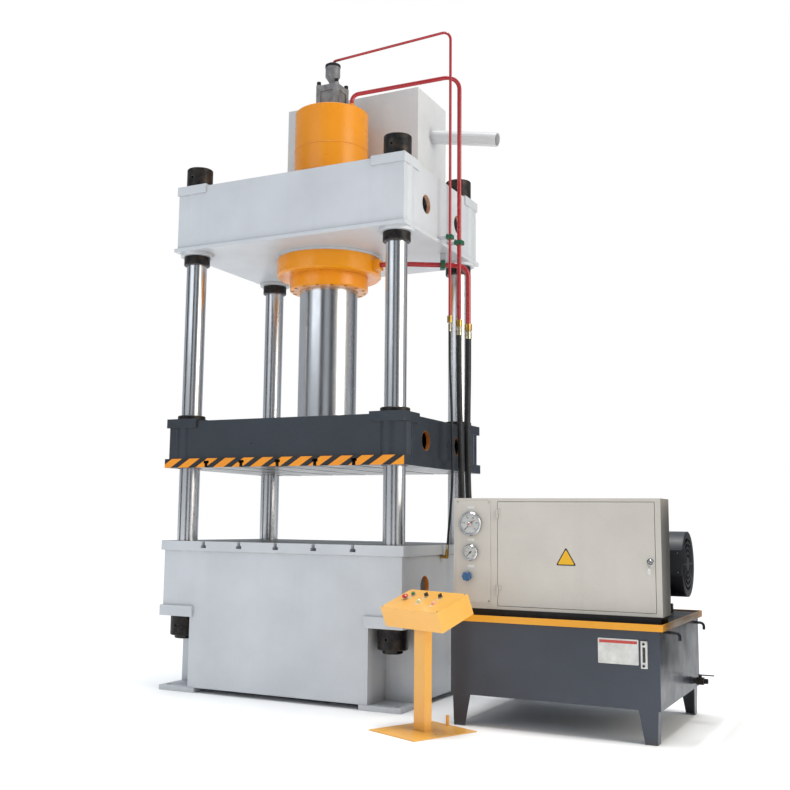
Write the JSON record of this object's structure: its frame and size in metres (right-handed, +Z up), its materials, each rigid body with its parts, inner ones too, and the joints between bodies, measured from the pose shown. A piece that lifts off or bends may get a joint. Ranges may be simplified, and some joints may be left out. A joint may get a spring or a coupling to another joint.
{
  "type": "hydraulic press",
  "caption": "Four-column hydraulic press with overhead cylinder, moving slide, T-slotted table, red steel pipes, separate oil power unit with switch cabinet, and operator pedestal.",
  "frame": {"origin": "centre of the four anchor holes of the press frame, on the floor", "axes": "+Z up; +X towards the power unit; -Y towards the operator"},
  "size_m": [3.993, 2.41, 5.1505],
  "materials": {
    "press_white": "satin",
    "slide_slate": "satin",
    "cylinder_orange": "gloss",
    "chrome": "polished",
    "blackened_steel": "satin",
    "bronze": "satin",
    "pipe_red": "gloss",
    "zinc": "satin",
    "valve_grey": "satin",
    "hose_rubber": "matte",
    "cabinet_beige": "satin",
    "tank_slate": "satin",
    "rim_yellow": "gloss",
    "cover_black": "satin",
    "desk_yellow": "gloss",
    "clamp_green": "matte",
    "knob_blue": "gloss",
    "gauge_chrome": "polished",
    "pointer_black": "matte",
    "button_red": "gloss",
    "button_green": "gloss",
    "selector_black": "satin",
    "motor_grey": "satin",
    "level_white": "gloss"
  },
  "bodies": {
    "root": {"bed_frame": "press_white", "bed_table": "press_white", "columns": "chrome", "column_nuts": "blackened_steel", "crown_collars": "blackened_steel", "crown_frame": "press_white", "cylinder_barrel": "cylinder_orange", "gland_ring": "cylinder_orange", "guide_bush": "bronze", "cap_screws": "blackened_steel", "prefill_valve": "valve_grey", "pilot_head": "valve_grey", "refill_tank": "press_white", "pilot_pipe": "pipe_red", "upper_pipe": "pipe_red", "lower_pipe": "pipe_red", "pipe_clamps": "clamp_green", "pilot_hose": "hose_rubber", "upper_hose": "hose_rubber", "lower_hose": "hose_rubber", "hose_fittings": "zinc", "oil_tank": "tank_slate", "tank_rim": "rim_yellow", "tank_cover": "cover_black", "level_gauge": "level_white", "drain_valve": "zinc", "cabinet_shell": "cabinet_beige", "door_hinges": "cabinet_beige", "gauge_panel": "cabinet_beige", "main_gauge": "gauge_chrome", "pilot_gauge": "gauge_chrome", "motor_frame": "motor_grey", "motor_cowl": "motor_grey", "pump_bracket": "motor_grey", "pump": "valve_grey", "delivery_pipe": "zinc", "valve_manifold": "zinc", "solenoid_valves": "selector_black", "pedestal_stand": "desk_yellow", "desk_panel": "desk_yellow", "desk_fittings": "gauge_chrome"},
    "slide": {"slide_frame": "slide_slate", "slide_plate": "slide_slate", "column_bushes": "blackened_steel", "ram": "chrome", "ram_flange": "cylinder_orange", "piston": "zinc"},
    "poppet": {"prefill_poppet": "zinc"},
    "door": {"cabinet_door": "cabinet_beige"},
    "lock": {"door_lock": "chrome"},
    "main_hand": {"main_pointer": "pointer_black"},
    "pilot_hand": {"pilot_pointer": "pointer_black"},
    "knob": {"gauge_knob": "knob_blue"},
    "shaft": {"motor_shaft": "zinc"},
    "emergency": {"emergency_button": "button_red"},
    "start": {"start_button": "button_green"},
    "selector_left": {"left_selector": "selector_black"},
    "selector_right": {"right_selector": "selector_black"},
    "drain_lever": {"drain_handle": "zinc"}
  },
  "joints": [
    {"name": "slide_travel", "type": "slide", "parent": "root", "child": "slide", "axis": [0, 0, 1], "range_m": [-0.45, 0.45]},
    {"name": "poppet_lift", "type": "slide", "parent": "root", "child": "poppet", "axis": [0, 0, 1], "range_m": [-0.035, 0], "stiffness_N_per_m": 3000, "springref_m": 0.035},
    {"name": "door_swing", "type": "hinge", "parent": "root", "child": "door", "pos_m": [1.751, -0.797, 1.1], "axis": [0, 0, -1], "range_deg": [0, 90]},
    {"name": "lock_turn", "type": "hinge", "parent": "door", "child": "lock", "pos_m": [2.738, -0.79, 1.067], "axis": [0, 1, 0], "range_deg": [0, 90]},
    {"name": "main_hand_turn", "type": "hinge", "parent": "root", "child": "main_hand", "pos_m": [1.566, -0.8, 1.283], "axis": [0, 1, 0], "range_deg": [0, 270]},
    {"name": "pilot_hand_turn", "type": "hinge", "parent": "root", "child": "pilot_hand", "pos_m": [1.566, -0.8, 1.096], "axis": [0, 1, 0], "range_deg": [0, 270]},
    {"name": "knob_turn", "type": "hinge", "parent": "root", "child": "knob", "pos_m": [1.545, -0.8, 0.942], "axis": [0, 1, 0], "range_deg": [0, 360]},
    {"name": "shaft_spin", "type": "hinge", "parent": "root", "child": "shaft", "pos_m": [2.4, 0.12, 1.03], "axis": [1, 0, 0], "continuous": true},
    {"name": "emergency_press", "type": "slide", "parent": "root", "child": "emergency", "axis": [-0.1524, -0.3422, 0.9272], "range_m": [-0.005, 0]},
    {"name": "start_press", "type": "slide", "parent": "root", "child": "start", "axis": [-0.1524, -0.3422, 0.9272], "range_m": [-0.004, 0], "stiffness_N_per_m": 1500, "springref_m": 0.002},
    {"name": "selector_left_turn", "type": "hinge", "parent": "root", "child": "selector_left", "pos_m": [1.38874, -1.10114, 0.81935], "axis": [-0.1524, -0.3422, 0.9272], "range_deg": [-45, 45]},
    {"name": "selector_right_turn", "type": "hinge", "parent": "root", "child": "selector_right", "pos_m": [1.50788, -1.15317, 0.81973], "axis": [-0.1524, -0.3422, 0.9272], "range_deg": [-45, 45]},
    {"name": "drain_turn", "type": "hinge", "parent": "root", "child": "drain_lever", "pos_m": [2.861, 0.06, 0.3], "axis": [0, 0, 1], "range_deg": [0, 90]}
  ]
}
